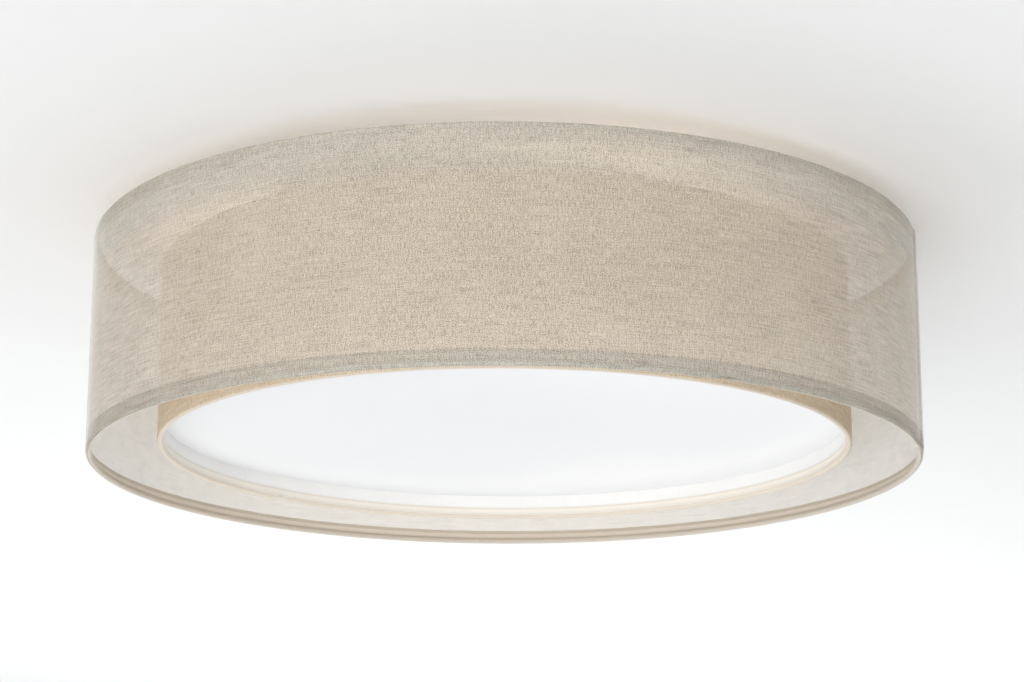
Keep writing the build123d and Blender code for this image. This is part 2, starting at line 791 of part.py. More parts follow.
with BuildPart() as earth_nut:
    with BuildSketch(Plane.XY.offset(PLATE_FLOOR + LUG_T)):
        with Locations((EARTH_X, EARTH_Y)):
            RegularPolygon(radius=3.5, side_count=6, major_radius=False)
            Circle(2.03, mode=Mode.SUBTRACT)
    extrude(amount=3.2)
finish(earth_nut, "earth_nut")

with BuildPart() as block_screw:
    with BuildSketch(Plane.XY.offset(-PLATE_DEPTH)):
        with Locations((BLOCK_X, BLOCK_SCREW_Y)):
            Circle(1.5)
    extrude(amount=10.0)
    with BuildSketch(Plane.XY.offset(-PLATE_DEPTH)):
        with Locations((BLOCK_X, BLOCK_SCREW_Y)):
            Circle(2.9)
    extrude(amount=-2.0)
    fillet(block_screw.edges().group_by(Axis.Z)[0], radius=1.1)
    for turn in (0, 90):
        with BuildSketch(Plane.XY.offset(-PLATE_DEPTH - 2.0)):
            with Locations((BLOCK_X, BLOCK_SCREW_Y)):
                Rectangle(3.2, 0.7, rotation=turn + 15)
        extrude(amount=1.0, mode=Mode.SUBTRACT)
finish(block_screw, "block_screw")

# --- Internal wires: between the holders, and up through the bushing to the block --------------

WIRE_END_R = LEG_R + INSERT_U0  # at the back of a contact insert


def corner(azimuth, z):
    """Where the two sideways-moved lines of neighbouring holders meet."""
    return polar(CORE_OFF / math.cos(math.radians(30)), azimuth, 0.0, z)


def link(first, second, z):
    between = (first + second) / 2
    return [
        polar(WIRE_END_R, first, CORE_OFF, z),
        corner(between, z),
        polar(WIRE_END_R, second, -CORE_OFF, z),
    ]


live_z, neutral_z = LAMP_Z + CORE_OFF, LAMP_Z - CORE_OFF
block_face = BLOCK_X - BLOCK_D / 2 + 2.0
live_routes = [
    (link(60.0, 180.0, live_z), [28.0]),
    (link(180.0, 300.0, live_z), [28.0]),
    (
        [
            polar(WIRE_END_R, 60.0, -CORE_OFF, live_z),
            polar(6.0, 60.0, -CORE_OFF, live_z),
            polar(6.0, 60.0, -CORE_OFF, POLE_Z),
            (26.0, POLES[0], POLE_Z),
            (block_face, POLES[0], POLE_Z),
        ],
        [8.0, 7.0, 14.0],
    ),
]
neutral_routes = [
    (link(60.0, 180.0, neutral_z), [28.0]),
    (link(180.0, 300.0, neutral_z), [28.0]),
    (
        [
            polar(WIRE_END_R, 300.0, CORE_OFF, neutral_z),
            polar(6.0, 300.0, CORE_OFF, neutral_z),
            polar(6.0, 300.0, CORE_OFF, POLE_Z),
            (26.0, POLES[1], POLE_Z),
            (block_face, POLES[1], POLE_Z),
        ],
        [8.0, 7.0, 14.0],
    ),
]
earth_routes = [
    (
        [
            (block_face, POLES[2], POLE_Z),
            (26.0, POLES[2], POLE_Z),
            (EARTH_X, EARTH_Y + 22.0, PLATE_FLOOR + 1.6),
            (EARTH_X, EARTH_Y + 8.0, PLATE_FLOOR + 1.6),
        ],
        [20.0, 9.0],
    )
]


def wires(name, routes):
    solids = []
    for points, radii in routes:
        with BuildPart() as core:
            with BuildLine() as route:
                FilletPolyline(*points, radius=radii)
            path = route.wires()[0]
            with BuildSketch(
                Plane(origin=path @ 0, z_dir=path % 0)
            ):
                Circle(CORE_R)
            sweep(path=path)
        length = path.length
        share = core.part.volume / (math.pi * CORE_R**2 * length)
        print(f"{name}: length {length:.1f} mm, radii {radii}, volume share {share:.4f}")
        solids.append(core.part)
    with BuildPart() as group:
        for solid in solids:
            add(solid)
    finish(group, name)


wires("live_wires", live_routes)
wires("neutral_wires", neutral_routes)
wires("earth_wire", earth_routes)
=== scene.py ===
import bpy
import math
import random

import numpy as np
from mathutils import Matrix, Vector, noise


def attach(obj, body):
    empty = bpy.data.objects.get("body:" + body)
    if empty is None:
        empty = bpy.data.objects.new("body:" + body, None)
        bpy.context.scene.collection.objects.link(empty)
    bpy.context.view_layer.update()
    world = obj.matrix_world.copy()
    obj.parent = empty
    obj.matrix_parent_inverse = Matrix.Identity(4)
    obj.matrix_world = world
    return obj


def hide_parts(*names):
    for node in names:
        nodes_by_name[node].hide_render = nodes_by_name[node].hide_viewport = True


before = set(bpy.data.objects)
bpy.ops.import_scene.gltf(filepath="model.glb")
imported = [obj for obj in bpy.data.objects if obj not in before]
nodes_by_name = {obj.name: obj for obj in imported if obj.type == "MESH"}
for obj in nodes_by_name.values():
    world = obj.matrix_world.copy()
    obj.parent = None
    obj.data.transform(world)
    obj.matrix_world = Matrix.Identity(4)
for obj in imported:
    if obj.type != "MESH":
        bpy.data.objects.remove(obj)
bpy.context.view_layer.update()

# ---------------------------------------------------------------------------
# Sizes, in metres, in the row frame: z = 0 is the ceiling
# ---------------------------------------------------------------------------

OUTER_R, OUTER_TOP, OUTER_BOTTOM = 0.300, -0.015, -0.175
INNER_R, INNER_TOP, INNER_BOTTOM = 0.250, -0.031, -0.164
CLOTH = 0.0004
WIRE_R = 0.002
BEAD_R = 0.0024
ARM_AZIMUTHS = (0.0, 120.0, 240.0)
SEAM_AZIMUTH = -12.0

# How the light and the cloth are balanced
OPEN_SHARE = 0.265  # share of the sheer cloth that is gaps
FILM_CLEAR = (0.79, 0.83)
WORLD = 0.645
KEY, SIDE, UP, WASH = 66.0, 2.0, 8.0, 31.0
LAMP_GLOW = 6.5
SHEET_PAINTED_GLOW = 0.10

# ---------------------------------------------------------------------------
# Small helpers for node materials
# ---------------------------------------------------------------------------


def linear(r, g, b):
    """An sRGB colour in 0..255 as linear RGBA."""

    def one(c):
        c /= 255.0
        return c / 12.92 if c <= 0.04045 else ((c + 0.055) / 1.055) ** 2.4

    return (one(r), one(g), one(b), 1.0)


class Build:
    """Makes a node material step by step."""

    def __init__(self, name):
        self.mat = bpy.data.materials.new(name)
        self.mat.use_nodes = True
        self.tree = self.mat.node_tree
        self.tree.nodes.clear()
        self.out = self.new("ShaderNodeOutputMaterial")

    def new(self, kind, **values):
        node = self.tree.nodes.new(kind)
        for key, value in values.items():
            if hasattr(node, key):
                setattr(node, key, value)
            else:
                node.inputs[key.replace("_", " ")].default_value = value
        return node

    def link(self, a, b):
        self.tree.links.new(a, b)

    def math(self, op, a, b=None, c=None, clamp=False):
        node = self.tree.nodes.new("ShaderNodeMath")
        node.operation = op
        node.use_clamp = clamp
        for i, x in enumerate((a, b, c)):
            if x is None:
                continue
            if isinstance(x, (int, float)):
                node.inputs[i].default_value = x
            else:
                self.link(x, node.inputs[i])
        return node.outputs[0]

    def vector(self, x, y, z=0.0):
        node = self.tree.nodes.new("ShaderNodeCombineXYZ")
        for i, v in enumerate((x, y, z)):
            if isinstance(v, (int, float)):
                node.inputs[i].default_value = v
            else:
                self.link(v, node.inputs[i])
        return node.outputs[0]

    def noise(self, vec, scale=1.0, detail=2.0, rough=0.5, kind="3D"):
        node = self.tree.nodes.new("ShaderNodeTexNoise")
        node.noise_dimensions = kind
        node.inputs["Scale"].default_value = scale
        node.inputs["Detail"].default_value = detail
        node.inputs["Roughness"].default_value = rough
        self.link(vec, node.inputs["Vector"])
        return node.outputs["Fac"]

    def ramp(self, fac, lo, hi, to_lo=0.0, to_hi=1.0, smooth=True):
        node = self.tree.nodes.new("ShaderNodeMapRange")
        node.interpolation_type = "SMOOTHSTEP" if smooth else "LINEAR"
        node.inputs["From Min"].default_value = lo
        node.inputs["From Max"].default_value = hi
        node.inputs["To Min"].default_value = to_lo
        node.inputs["To Max"].default_value = to_hi
        self.link(fac, node.inputs["Value"])
        return node.outputs["Result"]

    def mix_colour(self, fac, a, b, blend="MIX"):
        node = self.tree.nodes.new("ShaderNodeMix")
        node.data_type = "RGBA"
        node.blend_type = blend
        if isinstance(fac, (int, float)):
            node.inputs["Factor"].default_value = fac
        else:
            self.link(fac, node.inputs["Factor"])
        for i, x in ((6, a), (7, b)):
            if isinstance(x, tuple):
                node.inputs[i].default_value = x
            else:
                self.link(x, node.inputs[i])
        return node.outputs[2]

    def bump(self, height, distance=0.0002, strength=0.5):
        node = self.tree.nodes.new("ShaderNodeBump")
        node.inputs["Distance"].default_value = distance
        node.inputs["Strength"].default_value = strength
        self.link(height, node.inputs["Height"])
        return node.outputs["Normal"]

    def mix_shader(self, fac, a, b):
        node = self.tree.nodes.new("ShaderNodeMixShader")
        if isinstance(fac, (int, float)):
            node.inputs[0].default_value = fac
        else:
            self.link(fac, node.inputs[0])
        self.link(a, node.inputs[1])
        self.link(b, node.inputs[2])
        return node.outputs[0]

    def add_shader(self, a, b):
        node = self.tree.nodes.new("ShaderNodeAddShader")
        self.link(a, node.inputs[0])
        self.link(b, node.inputs[1])
        return node.outputs[0]

    def done(self, shader):
        self.link(shader, self.out.inputs["Surface"])
        return self.mat


def object_coords(b):
    return b.new("ShaderNodeTexCoord").outputs["Object"]


def plain(
    name,
    colour,
    rough,
    metal=0.0,
    vary=0.06,
    grain=900.0,
    bump=0.15,
    distance=0.00003,
    rough_vary=0.08,
    coat=0.0,
    stretch=(1.0, 1.0, 1.0),
    specular=None,
    painted_glow=0.0,
):
    """A solid finish whose colour, roughness and surface vary finely. glow is a painted emission standing in for the
    light it lets through.
    """
    b = Build(name)
    co = object_coords(b)
    mapping = b.new("ShaderNodeMapping")
    mapping.inputs["Scale"].default_value = stretch
    b.link(co, mapping.inputs["Vector"])
    fine = b.noise(mapping.outputs[0], grain, 4.0, 0.6)
    broad = b.noise(co, 18.0, 2.0, 0.5)
    dark = tuple(c * (1 - vary) for c in colour[:3]) + (1.0,)
    light = tuple(min(1.0, c * (1 + vary * 0.6)) for c in colour[:3]) + (1.0,)
    tone = b.math("ADD", b.math("MULTIPLY", fine, 0.55), b.math("MULTIPLY", broad, 0.45))
    base = b.mix_colour(b.ramp(tone, 0.35, 0.65), dark, light)
    p = b.new("ShaderNodeBsdfPrincipled")
    b.link(base, p.inputs["Base Color"])
    b.link(
        b.ramp(fine, 0.3, 0.7, max(0.02, rough - rough_vary), min(1.0, rough + rough_vary)),
        p.inputs["Roughness"],
    )
    p.inputs["Metallic"].default_value = metal
    if coat:
        p.inputs["Coat Weight"].default_value = coat
        p.inputs["Coat Roughness"].default_value = 0.25
    if specular is not None:
        p.inputs["Specular IOR Level"].default_value = specular
    if painted_glow:
        p.inputs["Emission Color"].default_value = (1.0, 1.0, 1.0, 1.0)
        p.inputs["Emission Strength"].default_value = painted_glow
    b.link(b.bump(fine, distance, bump), p.inputs["Normal"])
    return b.done(p.outputs[0])


# ---------------------------------------------------------------------------
# Cloth materials: u runs round the drum and v up it, both in metres
# ---------------------------------------------------------------------------


def weave(b, pitch, seed):
    """Fields of a plain weave, each 0..1: the threads close up, and the uneven yarn that shows from afar."""
    uv = b.new("ShaderNodeUVMap")
    uv.uv_map = "flat"
    sep = b.new("ShaderNodeSeparateXYZ")
    b.link(uv.outputs[0], sep.inputs[0])
    u, v = sep.outputs[0], sep.outputs[1]

    def field(fu, fv, offset, detail=1.0, lo=0.28, hi=0.72):
        vec = b.vector(b.math("MULTIPLY", u, fu), b.math("MULTIPLY", v, fv), seed + offset)
        return b.ramp(b.noise(vec, 1.0, detail, 0.5), lo, hi, 0.0, 1.0, False)

    # threads wander a little
    du = b.noise(b.vector(b.math("MULTIPLY", u, 60.0), b.math("MULTIPLY", v, 22.0), seed), 1.0, 2.0)
    dv = b.noise(b.vector(b.math("MULTIPLY", u, 14.0), b.math("MULTIPLY", v, 70.0), seed + 7.3), 1.0, 2.0)
    uw = b.math("ADD", u, b.math("MULTIPLY", b.math("SUBTRACT", du, 0.5), 0.0024))
    vw = b.math("ADD", v, b.math("MULTIPLY", b.math("SUBTRACT", dv, 0.5), 0.0030))
    warp = b.math("ABSOLUTE", b.math("SINE", b.math("MULTIPLY", uw, math.pi / pitch)))
    weft = b.math("ABSOLUTE", b.math("SINE", b.math("MULTIPLY", vw, math.pi / (pitch * 1.06))))
    # warp and weft go over each other by turns
    turn = b.math(
        "MULTIPLY",
        b.math("SINE", b.math("MULTIPLY", uw, math.pi / pitch)),
        b.math("SINE", b.math("MULTIPLY", vw, math.pi / (pitch * 1.06))),
    )
    over = b.math("MAXIMUM", b.math("MULTIPLY", warp, 0.96), weft)
    return dict(
        u=u,
        v=v,
        over=over,
        turn=turn,
        grain=field(1750.0, 1700.0, 13.0, 0.0, 0.27, 0.73),
        fine=field(1400.0, 190.0, 21.0, 1.0),
        streak=field(560.0, 16.0, 9.0, 1.0),
        weft=field(40.0, 1150.0, 17.0, 1.0),
        slub=field(36.0, 520.0, 5.0, 1.0, 0.58, 0.74),
        thin=field(30.0, 600.0, 29.0, 1.0, 0.60, 0.74),
        cloud=field(24.0, 30.0, 11.0, 2.0),
        hue=field(48.0, 60.0, 33.0, 2.0),
        damp=field(9.0, 12.0, 37.0, 1.0),
    )


def cloth(
    name,
    dark,
    light,
    open_share,
    back_share,
    pitch=0.00062,
    seed=0.0,
    hues=None,
    bands_and_painted_light=(),
    tints_and_painted_shade=(),
    painted_side_shade=(),
    lining_and_painted_glow=None,
    painted_glow=None,
    sheen=0.1,
    fuzz_and_painted_sheen=None,
    gap_swing=0.9,
):
    """Woven cloth: open_share of it is gaps between the threads, back_share of what the threads scatter
    goes through. bands are (v0, v1, colour) strips along the cloth's edges, some of them painted light; tones are
    (v0, v1, factor, softness of either edge) strips that only darken or lighten it, most of them painted shade; hems
    are (v0, v1, factor) strips of painted shade, darker on two opposite stretches; lining is the colour and share of
    its inner face and the strength of its painted emission; glow is (v0, v1, colour, strength) of a strip with
    painted emission; fuzz is the share and colour of a painted sheen where the cloth turns away."""
    b = Build(name)
    w = weave(b, pitch, seed)
    parts = (
        ("grain", 0.47),
        ("fine", 0.26),
        ("streak", 0.04),
        ("weft", 0.09),
        ("cloud", 0.04),
        ("over", 0.10),
    )
    tone = None
    for key, share in parts:
        piece = b.math("MULTIPLY", w[key], share)
        tone = piece if tone is None else b.math("ADD", tone, piece)
    # the weft is lumpier and the grain calmer on two opposite stretches of the cloth; side also masks the painted
    # shade laid on those stretches
    turns = b.math("COSINE", b.math("ADD", b.math("MULTIPLY", w["u"], 2.0 / 0.3), math.radians(-24.0)))
    side = b.math("ADD", b.math("MULTIPLY", turns, 0.5), 0.5)
    lumps = b.math("MULTIPLY", b.math("SUBTRACT", w["weft"], 0.5), 0.08)
    calm = b.math("MULTIPLY", b.math("SUBTRACT", w["grain"], 0.5), 0.34)
    calm = b.math("ADD", calm, b.math("MULTIPLY", b.math("SUBTRACT", w["fine"], 0.5), 0.12))
    tone = b.math("ADD", tone, b.math("MULTIPLY", side, b.math("SUBTRACT", lumps, calm)))
    swell = b.math("ADD", b.math("MULTIPLY", side, 0.04), 0.07)
    tone = b.math("ADD", tone, b.math("MULTIPLY", w["thin"], swell))
    tone = b.math("SUBTRACT", tone, b.math("MULTIPLY", w["slub"], swell), clamp=True)
    colour = b.mix_colour(b.ramp(tone, 0.31, 0.71, 0.0, 1.0, False), dark, light)
    if hues:
        # the cloth leans a little towards one hue or another from place to place
        colour = b.mix_colour(
            0.5, colour, b.mix_colour(w["hue"], hues[0], hues[1]), "SOFT_LIGHT"
        )

    def within(v0, v1, soft=0.0002, end=0.0002):
        return b.math(
            "MULTIPLY",
            b.ramp(w["v"], v0 - soft, v0 + soft),
            b.ramp(w["v"], v1 - end, v1 + end, 1.0, 0.0),
        )

    for v0, v1, factor, soft, end in tints_and_painted_shade:
        colour = b.mix_colour(within(v0, v1, soft, end), colour, factor + (1.0,), "MULTIPLY")
    for v0, v1, factor in painted_side_shade:
        # painted shade: the cloth is painted darker on two opposite stretches, standing in for the light falling off
        # there, and its double hem more so
        colour = b.mix_colour(b.math("MULTIPLY", within(v0, v1), side), colour, factor + (1.0,), "MULTIPLY")
    back_colour = colour
    if lining_and_painted_glow:
        inner_face = b.new("ShaderNodeNewGeometry").outputs["Backfacing"]
        crease = b.math("MULTIPLY", b.math("MAXIMUM", w["slub"], w["thin"]), 0.6)
        film = b.mix_colour(crease, lining_and_painted_glow[:4], tuple(c * 0.72 for c in lining_and_painted_glow[:3]) + (1.0,))
        colour = b.mix_colour(b.math("MULTIPLY", inner_face, lining_and_painted_glow[4]), colour, film)
    for v0, v1, tint in bands_and_painted_light:
        inside = within(v0, v1)
        tinted = b.mix_colour(b.ramp(tone, 0.24, 0.80), tuple(c * 0.93 for c in tint[:3]) + (1.0,), tint)
        colour = b.mix_colour(inside, colour, tinted)
        back_colour = b.mix_colour(inside, back_colour, tinted)
    height = b.math(
        "ADD",
        b.math("MULTIPLY", w["over"], 0.55),
        b.math("ADD", b.math("MULTIPLY", w["turn"], 0.2), b.math("MULTIPLY", w["slub"], 0.5)),
    )
    normal = b.bump(height, 0.00014, 0.5)
    front = b.new("ShaderNodeBsdfPrincipled")
    b.link(colour, front.inputs["Base Color"])
    front.inputs["Roughness"].default_value = 0.86
    front.inputs["Specular IOR Level"].default_value = 0.2
    front.inputs["Sheen Weight"].default_value = sheen
    front.inputs["Sheen Roughness"].default_value = 0.4
    b.link(normal, front.inputs["Normal"])
    if lining_and_painted_glow:
        # painted light: the inner face glows a little, standing in for the light kept between the drums
        front.inputs["Emission Color"].default_value = (0.93, 0.96, 1.0, 1.0)
        b.link(b.math("MULTIPLY", inner_face, lining_and_painted_glow[5]), front.inputs["Emission Strength"])
    if painted_glow:
        front.inputs["Emission Color"].default_value = painted_glow[2]
        b.link(b.math("MULTIPLY", within(painted_glow[0], painted_glow[1]), painted_glow[3]), front.inputs["Emission Strength"])
    back = b.new("ShaderNodeBsdfTranslucent")
    b.link(back_colour, back.inputs["Color"])
    body = b.mix_shader(back_share, front.outputs[0], back.outputs[0])
    if fuzz_and_painted_sheen:
        # painted sheen: the cloth is painted a lighter white where it turns away, for loose fibre ends that catch
        # the light
        layer = b.new("ShaderNodeLayerWeight")
        layer.inputs["Blend"].default_value = 0.5
        fibre_sheen = b.new("ShaderNodeBsdfDiffuse")
        fibre_sheen.inputs["Color"].default_value = fuzz_and_painted_sheen[1]
        share = b.math("MULTIPLY", b.math("POWER", layer.outputs["Facing"], 14.0), fuzz_and_painted_sheen[0])
        body = b.mix_shader(b.math("MINIMUM", share, 0.75), body, fibre_sheen.outputs[0])
    if open_share <= 0:
        return b.done(body)
    clear = b.new("ShaderNodeBsdfTransparent")
    # gaps are wide where the threads are thin, and there are none under a slub
    swing = b.math("SUBTRACT", b.ramp(w["over"], 0.45, 1.0, 1.0, 0.0), 0.32)
    swing = b.math("ADD", swing, b.math("MULTIPLY", b.math("SUBTRACT", w["fine"], 0.5), 0.30))
    swing = b.math("ADD", swing, b.math("MULTIPLY", b.math("SUBTRACT", w["grain"], 0.5), 0.30))
    swing = b.math("ADD", swing, b.math("MULTIPLY", w["thin"], 0.35))
    swing = b.math("SUBTRACT", swing, b.math("MULTIPLY", w["slub"], 0.55))
    gap = b.math("MULTIPLY", b.math("ADD", 1.0, b.math("MULTIPLY", swing, gap_swing)), open_share, clamp=True)
    return b.done(b.mix_shader(gap, body, clear.outputs[0]))


# clear film behind the sheer cloth: mostly seen through, with a soft white haze and gloss
b = Build("clear_film")
co = object_coords(b)
haze_noise = b.noise(co, 60.0, 3.0)
clear = b.new("ShaderNodeBsdfTransparent")
haze = b.new("ShaderNodeBsdfTranslucent")
haze.inputs["Color"].default_value = (0.93, 0.92, 0.90, 1.0)
white = b.new("ShaderNodeBsdfPrincipled")
white.inputs["Base Color"].default_value = (0.93, 0.92, 0.90, 1.0)
white.inputs["Roughness"].default_value = 0.45
white.inputs["Specular IOR Level"].default_value = 0.5
b.link(b.bump(haze_noise, 0.0002, 0.1), white.inputs["Normal"])
b.done(
    b.mix_shader(
        b.ramp(haze_noise, 0.3, 0.7, *FILM_CLEAR),
        b.mix_shader(0.45, white.outputs[0], haze.outputs[0]),
        clear.outputs[0],
    )
)
clear_film = b.mat

# ---------------------------------------------------------------------------
# Solid finishes
# ---------------------------------------------------------------------------

white_steel = plain("white_steel", linear(236, 236, 233), 0.42, grain=1400.0, bump=0.35, distance=0.00005, vary=0.03)
white_wire = plain("white_wire", linear(232, 229, 222), 0.45, grain=1400.0, vary=0.03)
zinc = plain("zinc_steel", (0.60, 0.61, 0.62, 1), 0.34, metal=1.0, vary=0.16, grain=260.0, rough_vary=0.12, bump=0.1)
nickel = plain("nickel_brass", (0.66, 0.63, 0.58, 1), 0.28, metal=1.0, vary=0.12, grain=700.0, bump=0.1)
terminal_steel = plain("terminal_steel", (0.55, 0.56, 0.58, 1), 0.36, metal=1.0, vary=0.15, grain=600.0)
brass = plain("brass", (0.76, 0.56, 0.26, 1), 0.33, metal=1.0, vary=0.14, grain=500.0)
lamp_cap = plain("lamp_cap", (0.74, 0.74, 0.74, 1), 0.27, metal=1.0, vary=0.1, grain=500.0, bump=0.1)
lamp_contact = plain("lamp_contact", (0.70, 0.60, 0.42, 1), 0.35, metal=1.0, vary=0.15, grain=700.0)
rubber = plain("black_rubber", (0.018, 0.018, 0.018, 1), 0.62, vary=0.3, grain=900.0)
thermoplastic = plain("white_thermoplastic", linear(233, 231, 224), 0.36, vary=0.03, grain=1600.0, bump=0.12)
steatite = plain("steatite", linear(226, 219, 203), 0.62, vary=0.06, grain=1200.0, bump=0.4)
housing = plain("lamp_housing", linear(238, 238, 235), 0.38, vary=0.02, grain=1500.0, bump=0.1)
led_board = plain("led_board", linear(240, 240, 236), 0.4, vary=0.03, grain=800.0)
# painted light: the white liner's emission stands in for the light on it
liner = plain("white_liner", linear(242, 241, 239), 0.55, vary=0.02, grain=500.0, bump=0.2, painted_glow=0.02)
brown_wire = plain("brown_insulation", linear(104, 62, 38), 0.4, vary=0.1, grain=1200.0)
blue_wire = plain("blue_insulation", linear(38, 92, 176), 0.4, vary=0.1, grain=1200.0)

b = Build("green_yellow_insulation")
geo = b.new("ShaderNodeNewGeometry")
split = b.new("ShaderNodeSeparateXYZ")
b.link(geo.outputs["Normal"], split.inputs[0])
stripe_noise = b.noise(object_coords(b), 1200.0, 3.0)
edge = b.math("ADD", split.outputs[2], b.math("MULTIPLY", stripe_noise, 0.05))
p = b.new("ShaderNodeBsdfPrincipled")
b.link(b.mix_colour(b.ramp(edge, 0.28, 0.34), linear(52, 128, 54), linear(236, 214, 44)), p.inputs["Base Color"])
p.inputs["Roughness"].default_value = 0.4
b.link(b.bump(stripe_noise, 0.00003, 0.15), p.inputs["Normal"])
earth_wire_mat = b.done(p.outputs[0])

# opal sheet, lit from behind; its emission is painted light standing in for the light the bulbs send through it
b = Build("opal_acrylic")
co = object_coords(b)
mottle = b.noise(co, 7.0, 2.0)
fine = b.noise(co, 900.0, 3.0)
p = b.new("ShaderNodeBsdfPrincipled")
b.link(b.mix_colour(mottle, (0.80, 0.805, 0.815, 1), (0.84, 0.845, 0.855, 1)), p.inputs["Base Color"])
p.inputs["Roughness"].default_value = 0.32
p.inputs["Emission Color"].default_value = (0.96, 0.98, 1.0, 1.0)
p.inputs["Emission Strength"].default_value = SHEET_PAINTED_GLOW
b.link(b.bump(fine, 0.00002, 0.1), p.inputs["Normal"])
t = b.new("ShaderNodeBsdfTranslucent")
t.inputs["Color"].default_value = (0.82, 0.86, 0.93, 1.0)
opal = b.done(b.mix_shader(0.16, p.outputs[0], t.outputs[0]))

# frosted lamp dome, lit
b = Build("lit_opal")
co = object_coords(b)
frost = b.noise(co, 1200.0, 3.0)
soft = b.noise(co, 22.0, 2.0)
p = b.new("ShaderNodeBsdfPrincipled")
b.link(b.mix_colour(soft, (0.90, 0.86, 0.78, 1), (0.94, 0.91, 0.85, 1)), p.inputs["Base Color"])
p.inputs["Roughness"].default_value = 0.4
p.inputs["Emission Color"].default_value = (1.0, 0.80, 0.58, 1.0)
p.inputs["Emission Strength"].default_value = LAMP_GLOW
b.link(b.bump(frost, 0.00003, 0.2), p.inputs["Normal"])
lit_opal = b.done(p.outputs[0])

FINISH = {
    "outer_shade_film": clear_film,
    "outer_top_ring": white_wire,
    "outer_bottom_ring": white_wire,
    "inner_top_ring": white_wire,
    "inner_bottom_ring": white_wire,
    "inner_shade_liner": liner,
    "diffuser_support_band": liner,
    "diffuser": opal,
    "ceiling_plate": white_steel,
    "mounting_bar": zinc,
    "pan_screws": zinc,
    "shade_studs": zinc,
    "stud_spacers": zinc,
    "holder_brackets": zinc,
    "bracket_rivets": zinc,
    "holder_nipples": zinc,
    "nipple_nuts": zinc,
    "block_screw": zinc,
    "earth_screw": zinc,
    "earth_nut": zinc,
    "cable_bushing": rubber,
    "holder_domes": thermoplastic,
    "terminal_block": thermoplastic,
    "holder_inserts": steatite,
    "holder_centre_contacts": brass,
    "holder_side_contacts": brass,
    "terminal_sleeves": brass,
    "earth_lug": brass,
    "terminal_screws": terminal_steel,
    "live_wires": brown_wire,
    "neutral_wires": blue_wire,
    "earth_wire": earth_wire_mat,
}
for i in (1, 2, 3):
    FINISH[f"spider_arm_{i}"] = white_steel
    FINISH[f"knurled_nut_{i}"] = nickel
    FINISH[f"holder_skirt_{i}"] = thermoplastic
    FINISH[f"bulb_{i}_cap"] = lamp_cap
    FINISH[f"bulb_{i}_contact"] = lamp_contact
    FINISH[f"bulb_{i}_housing"] = housing
    FINISH[f"bulb_{i}_led_board"] = led_board
    FINISH[f"bulb_{i}_dome"] = lit_opal

for name, mat in FINISH.items():
    obj = nodes_by_name[name]
    if obj.type == "MESH":
        if not obj.material_slots:
            obj.data.materials.append(mat)
        for s in obj.material_slots:
            s.material = mat

# ---------------------------------------------------------------------------
# Cloth pieces: one strip round each drum, rolled over its rings, with an overlap
# ---------------------------------------------------------------------------


def arc(cx, cz, radius, a0, a1, count):
    """Points on an arc in the (r, z) plane, both ends included."""
    return [
        (
            cx + radius * math.cos(math.radians(a0 + (a1 - a0) * i / (count - 1))),
            cz + radius * math.sin(math.radians(a0 + (a1 - a0) * i / (count - 1))),
        )
        for i in range(count)
    ]


def straight(p, q, count):
    """Points after p up to and with q."""
    return [
        (p[0] + (q[0] - p[0]) * i / count, p[1] + (q[1] - p[1]) * i / count)
        for i in range(1, count + 1)
    ]


